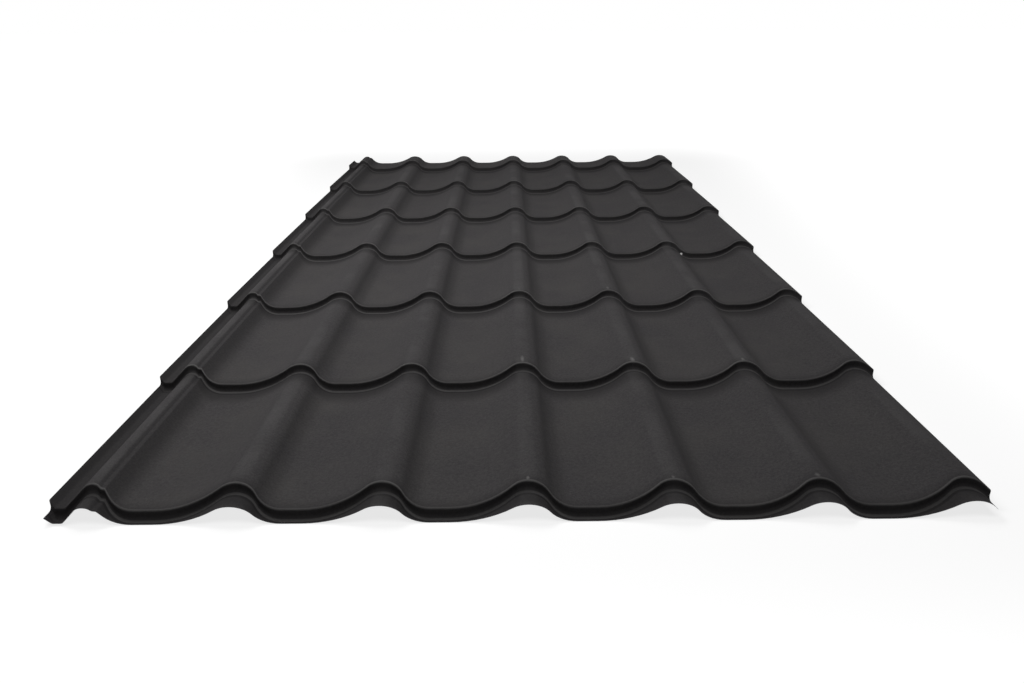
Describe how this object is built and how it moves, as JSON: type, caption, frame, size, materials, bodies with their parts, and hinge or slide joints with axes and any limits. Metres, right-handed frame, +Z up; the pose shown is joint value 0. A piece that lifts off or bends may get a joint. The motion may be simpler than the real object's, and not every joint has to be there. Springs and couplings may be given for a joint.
{
  "type": "tile effect metal roofing sheet",
  "caption": "Thin coated steel roofing sheet, waved across its width and pressed into shallow steps along its length so that it looks like laid roof tiles.",
  "frame": {"origin": "centre of the sheet's plan, on the floor that it lies on", "axes": "+Y along the tiles, from the front cut edge up towards the ridge end; +X across the waves, with the capillary groove edge at -X; +Z up"},
  "size_m": [1.174, 2.23, 0.0386],
  "materials": {
    "coated_steel": "matte, finely grained dark grey coating"
  },
  "bodies": {
    "root": {"roofing_sheet": "coated_steel"}
  },
  "joints": []
}
